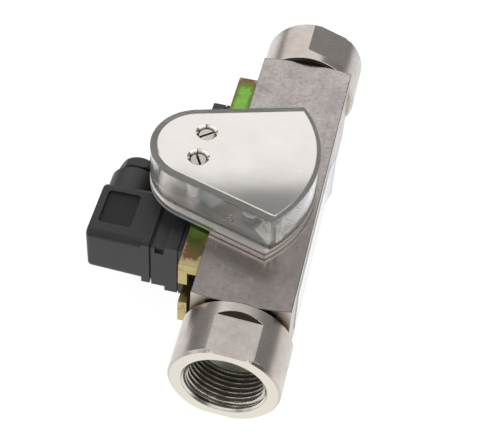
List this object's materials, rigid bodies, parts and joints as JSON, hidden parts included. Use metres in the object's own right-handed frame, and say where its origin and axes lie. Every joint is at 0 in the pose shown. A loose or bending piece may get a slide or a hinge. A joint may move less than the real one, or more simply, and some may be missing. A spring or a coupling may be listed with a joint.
{
  "type": "variable area flow meter",
  "caption": "Square-bodied in-line flow meter with threaded ends, a sector-shaped pointer indicator on top and a sliding switch with a plug on one side.",
  "frame": {"origin": "centre of the inlet port's mouth", "axes": "+Y along the flow from inlet to outlet, +Z out of the indicator's face plate, -X towards the switch"},
  "size_m": [0.0933, 0.19, 0.0636],
  "materials": {
    "block_metal": "nickel plated, fine blasted",
    "fitting_metal": "nickel plated, turned",
    "inner_metal": "turned brass",
    "steel": "plain",
    "magnet": "coated magnet",
    "rail_metal": "yellow chromate",
    "tray_metal": "satin",
    "plate_metal": "satin",
    "scale_paint": "matt white",
    "pointer_paint": "matt red",
    "clear_plastic": "clear, polished",
    "black_plastic": "fine moulded grain",
    "plug_plastic": "fine moulded grain",
    "soft_rubber": "matt",
    "board": "coated board",
    "reed_glass": "clear green",
    "label_film": "blank film"
  },
  "bodies": {
    "meter_body": {"meter_block": "block_metal", "inlet_fitting": "fitting_metal", "outlet_fitting": "fitting_metal", "fitting_seals": "soft_rubber", "inlet_guide": "inner_metal", "outlet_guide": "inner_metal", "metering_sleeve": "inner_metal", "guide_rod": "steel", "rod_nuts": "steel", "upper_rail": "rail_metal", "lower_rail": "rail_metal", "rail_screws": "steel", "indicator_base": "tray_metal", "base_gasket": "soft_rubber", "indicator_frame": "tray_metal", "base_screws": "steel", "scale_plate": "scale_paint", "clear_ring": "clear_plastic", "face_plate": "plate_metal", "face_screws": "steel", "spacer_pillars": "steel", "pillar_screws": "steel", "pointer_axle": "steel", "axle_clip": "inner_metal", "side_label": "label_film"},
    "float": {"float_body": "inner_metal", "float_magnet": "magnet", "float_cap": "inner_metal", "return_spring": "steel"},
    "pointer_assembly": {"pointer_hub": "inner_metal", "pointer": "pointer_paint", "pointer_magnet": "magnet", "balance_weight": "inner_metal"},
    "switch_assembly": {"carriage_plate": "black_plastic", "switch_housing": "black_plastic", "case_screws": "steel", "circuit_board": "board", "reed_contact": "reed_glass", "contact_pins": "steel", "clamp_bar": "steel", "clamp_screws": "steel", "plug_gasket": "soft_rubber", "plug_housing": "plug_plastic", "plug_insert": "plug_plastic", "plug_screw": "steel", "gland_seal": "soft_rubber", "gland_washer": "steel", "gland_nut": "plug_plastic"}
  },
  "joints": [
    {"name": "float_slide", "type": "slide", "parent": "meter_body", "child": "float", "axis": [0, 1, 0], "range_m": [0, 0.036], "stiffness_N_per_m": 60, "springref_m": -0.01, "deforming": ["return_spring"]},
    {"name": "pointer_swing", "type": "hinge", "parent": "meter_body", "child": "pointer_assembly", "pos_m": [-0.0312, 0.0842, 0.03], "axis": [0, 0, 1], "range_deg": [0, 60]},
    {"name": "switch_slide", "type": "slide", "parent": "meter_body", "child": "switch_assembly", "axis": [0, 1, 0], "range_m": [-0.01, 0.013]}
  ],
  "couplings": [
    {"joint": "pointer_swing", "follows": "float_slide", "rad_per_m": 29.089}
  ]
}
